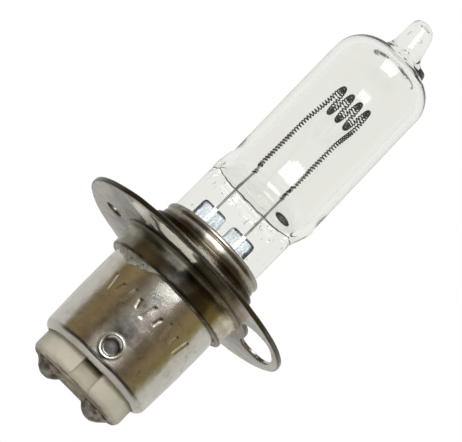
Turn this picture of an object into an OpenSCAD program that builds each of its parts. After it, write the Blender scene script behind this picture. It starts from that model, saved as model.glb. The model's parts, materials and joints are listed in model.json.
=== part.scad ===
// Tubular quartz-halogen lamp on a pre-focus base: a 30 mm locating flange with a
// round pin hole and a kidney slot, a 15 mm class shell and two soldered contacts.
// Millimetres. +Z runs along the lamp axis towards the glass tip. The origin is the
// centre of the flange's bulb-side face. The pin hole is on -X, the slot on +X.

/* [Quartz envelope] */
// Outer diameter of the quartz tube
tube_d = 13; // [12.6:0.1:13.1]
// Wall of the quartz tube
tube_wall = 1; // [0.8:0.1:1.3]
// Height of the dome above the seat
dome_z = 35.4; // [34:0.1:38]
// Radius of the dome's shoulder
shoulder_r = 3.4; // [2.6:0.1:3.4]
// Height of the exhaust tip's end above the seat
tip_z = 41.2; // [40.5:0.1:43]
// Diameter of the exhaust tip
tip_d = 3.2; // [2.8:0.1:3.6]
// Sideways lean of the exhaust tip, in degrees
tip_lean = 7; // [0:1:9]
// Height at which the round tube starts to flatten
round_end_z = 14.6; // [14:0.1:15.5]
// Height at which the pinch is fully flat
pinch_top_z = 10.9; // [10:0.1:11.5]
// Width of the pinch
pinch_w = 12.6; // [12:0.1:12.8]
// Thickness of the pinch
pinch_t = 4.2; // [3.6:0.1:5]
// Width of the thicker rim along each pinch edge
rim_w = 0.9; // [0.5:0.1:1.2]

/* [Filament and leads] */
// Height of the filament's centre above the seat (light centre)
light_centre_z = 26.8; // [26:0.1:28]
// Mean radius of the filament's large coil
coil_r = 1.6; // [1.2:0.1:1.9]
// Pitch of the filament's large coil
coil_pitch = 1.3; // [1:0.1:1.5]
// Thickness of the filament's small coil
strand_d = 0.7; // [0.5:0.1:0.8]
// Distance between the two lead wires
lead_gap = 4.54; // [4:0.02:5]
// Diameter of an inner lead wire
lead_d = 0.3; // [0.3:0.05:0.5]
// Width of a sealing foil
foil_w = 3.6; // [2.6:0.1:3.8]
// Thickness of a sealing foil
foil_t = 0.08; // [0.05:0.01:0.12]
// Diameter of an outer lead wire
outer_lead_d = 0.8; // [0.6:0.1:1]

/* [Flange] */
// Diameter of the flange
flange_d = 30; // [28:0.5:32]
// Thickness of the flange
flange_t = 0.6; // [0.5:0.05:0.8]
// Diameter of the round pin hole
pin_hole_d = 2.25; // [2:0.05:2.6]
// Distance of the pin hole from the lamp axis
pin_hole_r = 11.3; // [11:0.1:12]
// Width of the kidney slot
slot_w = 4.1; // [3.6:0.1:4.2]
// Distance of the slot's centreline from the lamp axis
slot_r = 11.85; // [11.75:0.05:12]
// Half the angle that the slot's centreline covers, in degrees
slot_half_angle = 18.3; // [14:0.1:22]
// Turn of glass, shell and contacts against the flange's holes, in degrees
base_turn = 10; // [-20:1:20]

/* [Base] */
// Outer diameter of the collar above the flange
collar_d = 13.9; // [13.8:0.05:14]
// Height of the collar's rolled rim above the seat
collar_top_z = 4.6; // [4.3:0.1:5]
// Outer diameter of the flange's drawn neck
neck_d = 15.2; // [15:0.1:15.6]
// Height of the neck above the seat
neck_h = 2.7; // [2.6:0.1:3.2]
// Outer diameter of the skirt under the flange
skirt_d = 16.8; // [16.6:0.1:17.2]
// Depth of the skirt's lower edge below the seat
skirt_depth = 3.6; // [3.2:0.1:4]
// Outer diameter of the base shell
shell_d = 15.3; // [15.2:0.05:15.5]
// Outer diameter of the shell just above its crimped end
shell_end_d = 15; // [14.9:0.05:15.2]
// Depth of the shell's crimped end below the seat
shell_depth = 15.7; // [15.2:0.1:16.2]
// Depth of the insulator's contact face below the seat
insulator_depth = 18.4; // [18:0.1:19]
// Diameter of the exposed insulator
insulator_d = 13; // [12.6:0.1:13.1]
// Distance between the two contacts
contact_gap = 6.8; // [6.4:0.1:7.2]
// Diameter of a solder contact
contact_d = 4; // [3.8:0.1:4.2]
// Height of a solder contact
contact_h = 1.4; // [1.1:0.1:1.6]

/* [Hidden] */
$fn = 96;
arc_steps = 8;
past = 1;                              // how far a cutter runs past the face that it cuts

LEFT = -1;
RIGHT = 1;

tube_r = tube_d / 2;
tip_foot_r = tip_d / 2 + 1.3;          // foot of the flare between dome and tip
tip_flare_h = 1.9;                     // height of that flare
tip_root = 0.8;                        // how far the tip's foot reaches into the dome
rim_t = pinch_t + 1;                   // thickness of the pinch at its edges
pinch_end_z = -2.5;                    // lower end of the pinch, inside the base

legs_x = -0.6;                         // middle of the two legs, a little off the axis
coil_turns = 3.5;
coil_x = -0.2 - coil_pitch * coil_turns / 2;    // where the large coil starts
spud_top_z = 20.5;                     // the lead wires reach this far into the legs
leg_end_z = 14;                        // lower end of the coiled legs
leg_straight_z = 22.4;                 // the legs run straight up to here
leg_steps = 6;
turn_steps = 14;
foil_top_z = 7.6;
foil_end_z = -1.2;
foil_corner = 0.6;
foil_weld = 1.2;                       // length of a wire's weld on its foil
weld_sink = 0.03;                      // how far a wire sinks into its foil at the weld
foil_y = weld_sink - (lead_d + foil_t) / 2;     // the foils lie against the front of the wires
outer_lead_y = foil_y - weld_sink + (foil_t + outer_lead_d) / 2;
lead_bend_top_z = -4;                  // an outer lead bends between these two heights
lead_bend_end_z = -9.6;
lead_end_z = -insulator_depth - contact_h / 2;
sleeve_top_z = -3;
sleeve_wall = 0.3;

collar_r = collar_d / 2;
collar_wall = 0.35;
collar_roll_r = 0.5;                   // rounding of the rolled rim
collar_step_z = -0.8;                  // below this the collar widens to fit in the shell
collar_end_z = -5;
cement_top_z = 3.8;
neck_root_r = 1.8;                     // fillet between neck and flange
neck_clear = 0.05;                     // gap between neck and collar
skirt_wall = 0.5;
skirt_root_r = 0.9;
shell_r = shell_d / 2;
shell_end_r = shell_end_d / 2;
shell_wall = 0.4;
shell_top_z = -flange_t - 0.1;
shell_taper_z = -9.5;                  // the shell is straight above this height
crimp_r = 1.1;                         // rounding of the crimped end
crimp_z = -shell_depth + crimp_r;
lip_r = insulator_d / 2 + 0.05;
dimple_z = -13;
dimple_sphere_r = 1.7;
dimple_depth = 0.55;
dimple_x = shell_end_r + dimple_sphere_r - dimple_depth;
dimple_wall = 0.35;
mark_z = -7.5;                         // middle of the row of stamped strokes
mark_count = 9;
mark_step = 11;                        // angle from stroke to stroke
mark_w = 0.4;
mark_cut = 0.12;
key_w = 2.7;                           // key groove down the insulator's front and back
key_cut = 0.9;
key_top_z = -11.6;
insulator_top_z = -10.5;
insulator_body_r = 6.95;
insulator_step_z = -14.4;
insulator_edge_r = 0.8;
eyelet_d = 2;
eyelet_bore_d = 1.3;
eyelet_head_d = 3.6;
eyelet_head_t = 0.25;
solder_plug_top_z = -16.5;

// Points of an arc about c, from angle a to angle b
function arc(c, r, a, b) =
    [for (i = [0 : arc_steps]) c + r * [cos(a + (b - a) * i / arc_steps), sin(a + (b - a) * i / arc_steps)]];

// Smooth step from 0 to 1
function ease(u) = (1 - cos(180 * min(max(u, 0), 1))) / 2;

function mix(a, b, u) = a + (b - a) * u;

function unit(v) = v / norm(v);

// One ring of a wire's skin at point p, square to direction t
function ring(p, t, r, sides) =
    let (u = unit(cross(t, [1, 0, 0])), w = cross(t, u))
    [for (k = [0 : sides - 1]) p + r * (u * cos(360 * k / sides) + w * sin(360 * k / sides))];

// Direction of a path at its point i
function heading(path, i) = unit(path[min(i + 1, len(path) - 1)] - path[max(i - 1, 0)]);

// A round wire along a path that never runs along X
module wire(path, r, sides = 8) {
    last = len(path) - 1;
    skin = [for (i = [0 : last]) each ring(path[i], heading(path, i), r, sides)];
    walls = [for (i = [0 : last - 1], k = [0 : sides - 1])
        let (a = i * sides + k, b = i * sides + (k + 1) % sides)
        [a, a + sides, b + sides, b]];
    foot = [[for (k = [0 : sides - 1]) k]];
    head = [[for (k = [sides - 1 : -1 : 0]) last * sides + k]];
    polyhedron(skin, concat(foot, walls, head));
}

// Everything but the flange is turned about the lamp axis
module turned() {
    rotate([0, 0, base_turn]) children();
}

function lead_x(side) = legs_x + side * lead_gap / 2;

// Centreline of an outer lead wire: straight, a slack bend, straight
function outer_lead_path(side) =
    let (from_x = lead_x(side), to_x = side * contact_gap / 2)
    concat(
        [[from_x, outer_lead_y, foil_end_z + foil_weld]],
        [for (i = [0 : 6])
            [mix(from_x, to_x, ease(i / 6)), mix(outer_lead_y, 0, ease(i / 6)),
             mix(lead_bend_top_z, lead_bend_end_z, i / 6)]],
        [[to_x, 0, lead_end_z]]);

// Half-thickness of the glass seen from the side, from the pinch up to the tube
function press_y(flat_y, round_y, low_z, high_z) =
    [for (i = [0 : arc_steps]) [mix(flat_y, round_y, ease(i / arc_steps)), mix(low_z, high_z, i / arc_steps)]];

// A bar across X whose side view narrows from the round tube to the flat pinch
module press_side(flat_y, round_y, low_z, high_z, end_z, top_z) {
    edge = concat([[flat_y, end_z]], press_y(flat_y, round_y, low_z, high_z), [[round_y, top_z]]);
    count = len(edge);
    other_edge = [for (i = [count - 1 : -1 : 0]) [-edge[i].x, edge[i].y]];
    rotate([90, 0, 90])
        linear_extrude(height = 2 * tube_r + 2 * past, center = true)
            polygon(concat(edge, other_edge));
}

// Outside of tube and dome, on the lamp axis
module tube_outside() {
    rotate_extrude()
        polygon(concat(
            [[0, pinch_end_z], [tube_r, pinch_end_z]],
            arc([tube_r - shoulder_r, dome_z - shoulder_r], shoulder_r, 0, 90),
            [[0, dome_z + 0.1]]));
}

// Thicker rims left along both edges of the pinch
module pinch_rims() {
    rim_top_z = pinch_top_z + 0.8;
    intersection() {
        cylinder(r = tube_r, h = 2 * round_end_z, center = true);
        for (side = [LEFT, RIGHT])
            translate([side * (pinch_w - rim_w) / 2 - rim_w / 2, -rim_t / 2, pinch_end_z])
                cube([rim_w, rim_t, rim_top_z - pinch_end_z]);
    }
}

// Outside of the glass: the tube, pressed flat towards its lower end
module glass_outside() {
    difference() {
        union() {
            intersection() {
                tube_outside();
                press_side(pinch_t / 2, tube_r + 0.1, pinch_top_z, round_end_z, pinch_end_z - past, dome_z + past);
            }
            pinch_rims();
        }
        for (side = [LEFT, RIGHT])
            translate([side * (pinch_w / 2 + past) - past, -tube_r, pinch_end_z - past])
                cube([2 * past, tube_d, pinch_top_z - pinch_end_z + past]);
    }
}

module exhaust_tip() {
    r = tip_d / 2;
    flare_r = tip_foot_r - r;
    height = tip_z - dome_z;
    translate([0, 0, dome_z])
        rotate([0, -tip_lean, 0])
            rotate_extrude()
                polygon(concat(
                    [[0, -tip_root], [tip_foot_r, -tip_root]],
                    [for (i = [0 : arc_steps])
                        [tip_foot_r - flare_r * ease(i / arc_steps), tip_flare_h * i / arc_steps]],
                    arc([0, height - r], r, 0, 90)));
}

// Cavity of the bulb: the tube's bore, closed by the dome and by the pinch
module bulb_cavity() {
    r = tube_r - tube_wall;
    inner_shoulder = shoulder_r - tube_wall / 2;
    intersection() {
        rotate_extrude()
            polygon(concat(
                [[0, pinch_top_z], [r, pinch_top_z]],
                arc([r - inner_shoulder, dome_z - tube_wall - inner_shoulder], inner_shoulder, 0, 90),
                [[0, dome_z - tube_wall]]));
        press_side(0.6, r, pinch_top_z + 0.6, round_end_z + 0.6, pinch_top_z, dome_z);
    }
}

module foil_blank(side) {
    low = foil_end_z + foil_corner;
    high = foil_top_z - foil_corner;
    half = foil_w / 2 - foil_corner;
    translate([lead_x(side), foil_y, 0])
        rotate([90, 0, 0])
            linear_extrude(height = foil_t, center = true)
                polygon(concat(
                    arc([half, high], foil_corner, 0, 90), arc([-half, high], foil_corner, 90, 180),
                    arc([-half, low], foil_corner, 180, 270), arc([half, low], foil_corner, 270, 360)));
}

module lead_rod(side) {
    translate([lead_x(side), 0, foil_top_z - foil_weld])
        cylinder(d = lead_d, h = spud_top_z - foil_top_z + foil_weld, $fn = 24);
}

module outer_lead_bore(side) {
    translate([lead_x(side), outer_lead_y, pinch_end_z - past])
        cylinder(d = outer_lead_d, h = foil_end_z + foil_weld - pinch_end_z + past, $fn = 24);
}

module quartz_envelope() {
    color("gainsboro", 0.35) turned() difference() {
        union() {
            glass_outside();
            exhaust_tip();
        }
        bulb_cavity();
        for (side = [LEFT, RIGHT]) {
            lead_rod(side);
            foil_blank(side);
            outer_lead_bore(side);
        }
    }
}

// Path of the filament: up the left leg, along the large coil, down the right leg
function coil_point(i) =
    let (a = 360 * i / turn_steps)
    [coil_x + coil_pitch * i / turn_steps, -coil_r * cos(a), light_centre_z + coil_r * sin(a)];

function leg_point(side, end, u) =
    [mix(lead_x(side), end.x, ease(u)), mix(0, end.y, ease(u)), mix(leg_straight_z, end.z, u)];

function filament_path() =
    let (last = coil_turns * turn_steps)
    concat(
        [[lead_x(LEFT), 0, leg_end_z]],
        [for (i = [0 : leg_steps - 1]) leg_point(LEFT, coil_point(0), i / leg_steps)],
        [for (i = [0 : last]) coil_point(i)],
        [for (i = [leg_steps - 1 : -1 : 0]) leg_point(RIGHT, coil_point(last), i / leg_steps)],
        [[lead_x(RIGHT), 0, leg_end_z]]);

// One wire; the lower end of each coiled leg is bored for the lead wire in it
module filament() {
    color("dimgray") turned() difference() {
        wire(filament_path(), strand_d / 2);
        for (side = [LEFT, RIGHT])
            translate([lead_x(side), 0, leg_end_z - past])
                cylinder(d = lead_d + 0.02, h = spud_top_z - leg_end_z + past, $fn = 12);
    }
}

module lead_wire(side) {
    color("slategray") turned() lead_rod(side);
}

module foil(side) {
    color("lightsteelblue") turned() difference() {
        foil_blank(side);
        lead_rod(side);
        outer_lead_bore(side);
    }
}

module outer_lead(side) {
    color("silver") turned() wire(outer_lead_path(side), outer_lead_d / 2 - 0.01, 12);
}

module lead_sleeve(side) {
    path = outer_lead_path(side);
    low_z = insulator_top_z + 0.3;
    high_z = sleeve_top_z;
    color("ivory") turned() intersection() {
        difference() {
            wire(path, outer_lead_d / 2 + sleeve_wall, 12);
            wire(path, outer_lead_d / 2, 12);
        }
        translate([-tube_r, -tube_r, low_z])
            cube([2 * tube_r, 2 * tube_r, high_z - low_z]);
    }
}

module base_cement() {
    color("antiquewhite") turned() difference() {
        translate([0, 0, pinch_end_z])
            cylinder(r = collar_r - collar_wall, h = cement_top_z - pinch_end_z);
        glass_outside();
    }
}

// Ferrule that the pinch is cemented into: rolled rim, straight tube, wider foot
module collar() {
    inner_r = collar_r - collar_wall;
    foot_r = shell_r - shell_wall;
    color("silver") turned() rotate_extrude()
        polygon(concat(
            [[inner_r, collar_end_z], [foot_r, collar_end_z],
             [foot_r, collar_step_z], [collar_r, collar_step_z + collar_wall]],
            arc([collar_r - collar_roll_r, collar_top_z - collar_roll_r], collar_roll_r, 0, 90),
            [[inner_r - 0.2, collar_top_z - 0.15], [inner_r - 0.15, collar_top_z - 0.4],
             [inner_r, collar_top_z - 0.7]]));
}

// Curved slot for the large locating pin
module kidney_slot() {
    rotate([0, 0, -slot_half_angle])
        rotate_extrude(angle = 2 * slot_half_angle)
            translate([slot_r - slot_w / 2, -flange_t - past])
                square([slot_w, flange_t + 2 * past]);
    for (side = [LEFT, RIGHT])
        rotate([0, 0, side * slot_half_angle])
            translate([slot_r, 0, -flange_t - past])
                cylinder(d = slot_w, h = flange_t + 2 * past, $fn = 48);
}

// Flange disc with its neck drawn up round the collar
module flange_plate() {
    bore_r = collar_r + neck_clear;
    neck_r = neck_d / 2;
    wall = neck_r - bore_r;
    edge = 0.1;
    color("silver") difference() {
        rotate_extrude()
            polygon(concat(
                [[bore_r, -flange_t], [flange_d / 2 - edge, -flange_t], [flange_d / 2, -flange_t + edge],
                 [flange_d / 2, -edge], [flange_d / 2 - edge, 0]],
                arc([neck_r + neck_root_r, neck_root_r], neck_root_r, 270, 180),
                arc([neck_r - wall / 2, neck_h - wall / 2], wall / 2, 0, 180)));
        kidney_slot();
        translate([-pin_hole_r, 0, -flange_t - past])
            cylinder(d = pin_hole_d, h = flange_t + 2 * past, $fn = 48);
    }
}

// Ring under the flange that slides over the shell and is soldered to it
module skirt_ring() {
    r = skirt_d / 2;
    inner_r = r - skirt_wall;
    color("silver") rotate_extrude()
        polygon(concat(
            [[inner_r, -flange_t]],
            arc([r + skirt_root_r, -flange_t - skirt_root_r], skirt_root_r, 90, 180),
            arc([inner_r, -skirt_depth + skirt_wall], skirt_wall, 0, -90)));
}

// Solder drawn into the seam between skirt and shell, heavier on one side
module solder_fillet() {
    gap_r = skirt_d / 2 - skirt_wall;
    high_z = -skirt_depth + 0.8;
    run = 0.35;
    heavy_run = 0.8;
    heavy_from = 190;
    heavy_angle = 70;
    color("darkgray") turned() {
        rotate_extrude()
            polygon([[shell_r, high_z], [shell_r, -skirt_depth - run], [shell_r + 0.1, -skirt_depth - 0.1],
                     [gap_r, -skirt_depth], [gap_r, high_z]]);
        rotate([0, 0, heavy_from])
            rotate_extrude(angle = heavy_angle)
                polygon([[shell_r, -skirt_depth], [shell_r, -skirt_depth - heavy_run],
                         [shell_r + 0.25, -skirt_depth - 0.3], [gap_r + 0.3, -skirt_depth]]);
    }
}

module dimple(grow) {
    rotate([0, 0, -90])
        translate([dimple_x, 0, dimple_z])
            sphere(r = dimple_sphere_r + grow, $fn = 48);
}

// Generic stamped strokes, long and short in turn
module stamped_marks() {
    for (i = [0 : mark_count - 1]) {
        length = i % 2 == 0 ? 2 : 1.2;
        rotate([0, 0, -90 + (i - (mark_count - 1) / 2) * mark_step])
            translate([shell_r - mark_cut, -mark_w / 2, mark_z - length / 2])
                cube([past, mark_w, length]);
    }
}

module base_shell() {
    inner_crimp_r = crimp_r - shell_wall;
    color("silver") turned() difference() {
        union() {
            rotate_extrude()
                polygon(concat(
                    [[shell_r - shell_wall, shell_top_z], [shell_r - shell_wall, shell_taper_z]],
                    arc([shell_end_r - crimp_r, crimp_z], inner_crimp_r, 0, -90),
                    [[lip_r, -shell_depth + shell_wall]],
                    arc([shell_end_r - crimp_r, crimp_z], crimp_r, -80, 0),
                    [[shell_r, shell_taper_z], [shell_r, shell_top_z]]));
            intersection() {
                cylinder(r = shell_end_r - shell_wall / 2, h = 2 * shell_depth, center = true);
                union() {
                    dimple(dimple_wall);
                    rotate([0, 0, 180]) dimple(dimple_wall);
                }
            }
        }
        dimple(0);
        rotate([0, 0, 180]) dimple(0);
        stamped_marks();
    }
}

module insulator() {
    r = insulator_d / 2;
    color("wheat") turned() difference() {
        rotate_extrude()
            polygon(concat(
                [[0, insulator_top_z], [0, -insulator_depth]],
                arc([r - insulator_edge_r, -insulator_depth + insulator_edge_r], insulator_edge_r, -90, 0),
                [[r, insulator_step_z], [insulator_body_r, insulator_step_z],
                 [insulator_body_r, insulator_top_z]]));
        for (side = [LEFT, RIGHT]) {
            translate([-key_w / 2, side * r - key_cut, -insulator_depth - past])
                cube([key_w, 2 * key_cut, insulator_depth + key_top_z + past]);
            translate([side * contact_gap / 2, 0, -insulator_depth - past]) {
                cylinder(d = eyelet_d, h = insulator_depth + insulator_top_z + 2 * past, $fn = 48);
                cylinder(d = eyelet_head_d, h = past + eyelet_head_t, $fn = 48);
            }
        }
    }
}

module contact_eyelet(side) {
    top_z = insulator_top_z + 0.2;
    color("goldenrod") turned() translate([side * contact_gap / 2, 0, -insulator_depth]) difference() {
        union() {
            cylinder(d = eyelet_d, h = insulator_depth + top_z, $fn = 48);
            cylinder(d = eyelet_head_d, h = eyelet_head_t, $fn = 48);
        }
        translate([0, 0, -past])
            cylinder(d = eyelet_bore_d, h = insulator_depth + top_z + 2 * past, $fn = 48);
    }
}

// Mound of solder over an eyelet, with its plug in the eyelet's bore
module solder_contact(side) {
    steps = 2 * arc_steps;
    overlap = 0.1;
    color("dimgray") turned() translate([side * contact_gap / 2, 0, -insulator_depth]) difference() {
        union() {
            rotate_extrude()
                polygon(concat(
                    [[0, 0], [contact_d / 2, 0]],
                    [for (i = [1 : steps]) [contact_d / 2 * (1 - i / steps), -contact_h * ease(i / steps)]]));
            translate([0, 0, -overlap])
                cylinder(d = eyelet_bore_d, h = insulator_depth + solder_plug_top_z + overlap, $fn = 48);
        }
        translate([0, 0, lead_end_z + insulator_depth])
            cylinder(d = outer_lead_d, h = insulator_depth, $fn = 24);
    }
}

quartz_envelope();
filament();
lead_wire(LEFT);  // lead_wire_left
lead_wire(RIGHT);  // lead_wire_right
foil(LEFT);  // foil_left
foil(RIGHT);  // foil_right
outer_lead(LEFT);  // outer_lead_left
outer_lead(RIGHT);  // outer_lead_right
lead_sleeve(LEFT);  // lead_sleeve_left
lead_sleeve(RIGHT);  // lead_sleeve_right
base_cement();
collar();
flange_plate();
skirt_ring();
solder_fillet();
base_shell();
insulator();
contact_eyelet(LEFT);  // contact_eyelet_left
contact_eyelet(RIGHT);  // contact_eyelet_right
solder_contact(LEFT);  // solder_contact_left
solder_contact(RIGHT);  // solder_contact_right
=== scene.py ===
"""Looks of a tubular quartz-halogen lamp on a pre-focus base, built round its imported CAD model.

Sizes are millimetres in the frame's own axes, and become metres when a mesh is made. +Z runs
along the lamp axis to the glass tip, and the origin is the centre of the flange's bulb side.
Most pieces are shaped in lamp axes, where X runs across the pinch, and are then turned by
BASE_TURN about Z, as the CAD model turns glass and base against the flange's holes.
"""

import json
import random
from functools import partialmethod
from math import asin, atan2, copysign, cos, degrees, hypot, pi, radians, sin, sqrt, tan

import bmesh
import bpy
from mathutils import Matrix, Vector, noise
from mathutils.geometry import delaunay_2d_cdt


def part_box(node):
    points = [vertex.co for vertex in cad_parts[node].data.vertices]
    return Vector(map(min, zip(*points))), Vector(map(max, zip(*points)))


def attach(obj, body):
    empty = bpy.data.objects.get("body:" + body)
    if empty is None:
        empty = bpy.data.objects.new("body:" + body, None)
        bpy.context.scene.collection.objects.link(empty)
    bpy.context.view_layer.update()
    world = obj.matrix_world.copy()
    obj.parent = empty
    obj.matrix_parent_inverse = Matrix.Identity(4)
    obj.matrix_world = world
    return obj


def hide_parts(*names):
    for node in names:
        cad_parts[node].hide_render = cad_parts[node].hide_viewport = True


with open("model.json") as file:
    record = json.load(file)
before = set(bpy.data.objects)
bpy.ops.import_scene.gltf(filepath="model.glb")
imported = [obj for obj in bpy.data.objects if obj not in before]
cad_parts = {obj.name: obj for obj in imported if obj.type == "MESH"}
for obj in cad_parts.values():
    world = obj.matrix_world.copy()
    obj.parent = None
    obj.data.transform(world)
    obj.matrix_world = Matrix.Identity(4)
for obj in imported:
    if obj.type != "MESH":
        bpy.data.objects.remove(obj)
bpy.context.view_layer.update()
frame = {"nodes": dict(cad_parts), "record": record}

MM = 0.001
SIDES = {"left": -1, "right": 1}


# ---- sizes

def span(node):
    """Lowest and highest corner of a CAD node, in millimetres."""
    low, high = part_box(node)
    return low / MM, high / MM


def half_width(node):
    low, high = span(node)
    return (high.y - low.y) / 2


def heights(node):
    low, high = span(node)
    return low.z, high.z


pinch_across = sum(span("foil_right"), Vector()) - sum(span("foil_left"), Vector())
BASE_TURN = atan2(pinch_across.y, pinch_across.x)

TUBE_R = half_width("quartz_envelope")
TUBE_WALL = 1.0
PINCH_END_Z, TIP_Z = heights("quartz_envelope")
TIP_LEAN = radians(7)
DOME_Z = TIP_Z - 5.8  # height of the dome under the tip
SHOULDER_W = 3.5  # the dome's rounded shoulder, across and up
SHOULDER_H = 3.7
ROUND_END_Z = 13.9  # the round tube starts to flatten below this
PINCH_TOP_Z = 10.6  # the pinch is fully flat below this
PINCH_HALF_T = 2.1
PINCH_RIM = 0.32  # how far the rims stand proud of the pinch
PINCH_RIM_W = 1.1
RIM_SLOPE_W = 1.1
CAVITY_R = TUBE_R - TUBE_WALL
CAVITY_END_Z = PINCH_TOP_Z + 0.12
SLIT_HALF_T = 0.06  # the pressed cavity closes to this
DEPOSIT_PLACE = Vector((3.45, -2.0, 11.65))
DEPOSIT_HALF_W = 1.15
DEPOSIT_HALF_H = 0.36
GLASS_SIDES = 144
NIB = ((3.1, 0.12), (2.65, 0.62), (2.3, 1.25), (2.02, 2.0), (1.87, 2.8), (1.76, 3.6), (1.66, 4.4),
       (1.5, 4.95), (1.18, 5.45), (0.7, 5.73))  # radius, and height over the dome
RECESS = ((2.3, 0.12), (1.8, 0.42), (1.25, 0.95), (0.8, 1.6), (0.4, 2.15))  # the nib's hollow foot
TIP_BUBBLES = (  # x, y, depth under the tip, half width and half height
    (-0.95, -0.9, 2.55, 0.11, 0.34), (0.5, -1, 2.4, 0.16, 0.2),
    (0.25, -0.7, 2.75, 0.09, 0.12), (0.02, 0, 0.8, 0.62, 0.17))

LIGHT_Z = 26.8  # middle of the filament
LEGS_X = -0.6  # middle of the two legs
LEAD_GAP = 4.54
COIL_R = 1.6
COIL_PITCH = 1.3
COIL_TURNS = 3.5
COIL_START_X = -0.2 - COIL_PITCH * COIL_TURNS / 2
LEG_END_Z = heights("filament")[0]
LEG_STRAIGHT_Z = 22.4
FOIL_TOP_Z = heights("foil_left")[1]
STRAND_R = 0.24  # mean radius of the small coil
STRAND_PITCH = 0.4
STRAND_WIRE_R = 0.08

flange_end_z, NECK_TOP_Z = heights("flange_plate")
FLANGE_R = half_width("flange_plate")
FLANGE_T = -flange_end_z
NECK_R = 7.6
NECK_ROOT_R = 1.8
NECK_BORE_R = 7.0
EDGE_R = 0.14  # rounding of the flange's edges
FLANGE_TIP = radians(1.0)  # the stamped disc is bent up a little at the front
FLANGE_BACK_TIP = radians(1.7)
FLANGE_ROLL = radians(0.9)  # and down a little at the right
holes = {mount["name"]: mount for mount in frame["record"]["mounts"]}
PIN_X = holes["pin_hole"]["pos_m"][0] / MM
PIN_R = holes["pin_hole"]["dims"]["r_mm"]
SLOT_X = holes["kidney_slot"]["pos_m"][0] / MM
SLOT_HALF_W = 2.05
SLOT_HALF_ANGLE = radians(18.3)
RIM_SIDES, BORE_SIDES, PIN_SIDES = 240, 192, 40
GRID_STEP = 0.6

COLLAR_END_Z, COLLAR_TOP_Z = heights("collar")
COLLAR_R = 6.95
COLLAR_WALL = 0.35
COLLAR_ROLL_R = 0.5

SKIRT_END_Z = heights("skirt_ring")[0]
SKIRT_R = 8.4
SKIRT_WALL = 0.5

SHELL_END_Z, SHELL_TOP_Z = heights("base_shell")
SHELL_R = half_width("base_shell")
SHELL_END_R = SHELL_R - 0.15
SHELL_WALL = 0.4
SHELL_TAPER_Z = -9.5
CRIMP_R = 1.1
LIP_R = 6.55
DIMPLE_Z = -13.0
DIMPLE_R = 1.16
DIMPLE_DEPTH = 0.24
DIMPLE_LEFT = 0.25  # it was struck a little off the middle
MARK_Z = -7.5  # middle of the row of stamped strokes
MARKS_A_SIDE = 4  # besides the middle one
MARK_STEP = radians(11)
MARK_HALF_W = 0.13
MARK_CUT = 0.055

PLUG_R = 6.5
PLUG_END_Z = heights("insulator")[0]
PLUG_TOP_Z = -13.0  # hidden in the shell
PLUG_EDGE_R = 0.8
KEY_HALF_W = 1.35
KEY_CUT = 0.9


# ---- shaping

def ease(u):
    """Smooth step from 0 to 1."""
    u = min(max(u, 0), 1)
    return u * u * (3 - 2 * u)


def mix(a, b, u):
    return a + (b - a) * u


def hump(x, centre, half):
    """1 at the centre, falling smoothly to 0 at half's distance."""
    return ease(1 - abs(x - centre) / half)


def soft_min(a, b, blend):
    """The smaller of two numbers, with the corner between them rounded."""
    near = max(blend - abs(a - b), 0) / blend
    return min(a, b) - near * near * blend / 4


def rough(point, scale, seed=0.0, detail=2):
    """Smooth noise between about -1 and 1; scale is the size of its bumps in millimetres."""
    place = Vector(point) / scale + Vector((seed * 7.31, seed * 3.17, seed * 5.53))
    return noise.fractal(place, 1, 2, detail)


def arc(centre, radius, start, end, steps=8):
    """Points of a profile's arc, angles in degrees."""
    angles = [radians(mix(start, end, i / steps)) for i in range(steps + 1)]
    return [(centre[0] + radius * cos(a), centre[1] + radius * sin(a)) for a in angles]


def levels(low, high, step):
    """Evenly spaced values from low up or down to high, both included."""
    count = max(1, round(abs(high - low) / step))
    return [mix(low, high, i / count) for i in range(count + 1)]


def spline(points, steps):
    """A smooth curve through the points of a profile."""
    padded = [points[0], *points, points[-1]]
    curve = []
    for i in range(1, len(padded) - 2):
        p0, p1, p2, p3 = (Vector(p) for p in padded[i - 1:i + 3])
        for k in range(steps):
            t = k / steps
            curve.append(tuple(0.5 * (
                2 * p1 + (p2 - p0) * t + (2 * p0 - 5 * p1 + 4 * p2 - p3) * t ** 2
                + (3 * p1 - p0 - 3 * p2 + p3) * t ** 3)))
    return curve + [tuple(points[-1])]


def circle(radius, count, centre_x=0.0):
    """An anticlockwise outline, from its right."""
    turns = [2 * pi * i / count for i in range(count)]
    return [Vector((centre_x + radius * cos(a), radius * sin(a))) for a in turns]


def raised(outline, height):
    return [Vector((p.x, p.y, height)) for p in outline]


def turn_ring(radius, height, count):
    """One ring of points about Z, or a single point on the axis."""
    return raised([Vector((0, 0))] if radius < 1e-6 else circle(radius, count), height)


def skin(rings, closed=False, flip=False):
    """Points and faces between rings; they face outward up an outside and down an inside."""
    points = [p for ring in rings for p in ring]
    starts = [0]
    for ring in rings:
        starts.append(starts[-1] + len(ring))
    faces = []
    for a in range(len(rings) if closed else len(rings) - 1):
        b = (a + 1) % len(rings)
        size = max(len(rings[a]), len(rings[b]))
        for i in range(size):
            j = (i + 1) % size
            low = [starts[a]] if len(rings[a]) == 1 else [starts[a] + i, starts[a] + j]
            high = [starts[b]] if len(rings[b]) == 1 else [starts[b] + j, starts[b] + i]
            faces.append((low + high)[::-1 if flip else 1])
    return points, faces


def joined(*parts):
    """Several (points, faces) pairs as one."""
    points, faces = [], []
    for more_points, more_faces in parts:
        start = len(points)
        points += more_points
        faces += [[start + i for i in face] for face in more_faces]
    return points, faces


def revolved(profile, count, shape=None, closed=True):
    """A profile of (radius, height) turned about Z, each point then moved by shape(point)."""
    rings = [turn_ring(r, z, count) for r, z in profile]
    if shape:
        rings = [[shape(p) for p in ring] for ring in rings]
    return skin(rings, closed)


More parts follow.
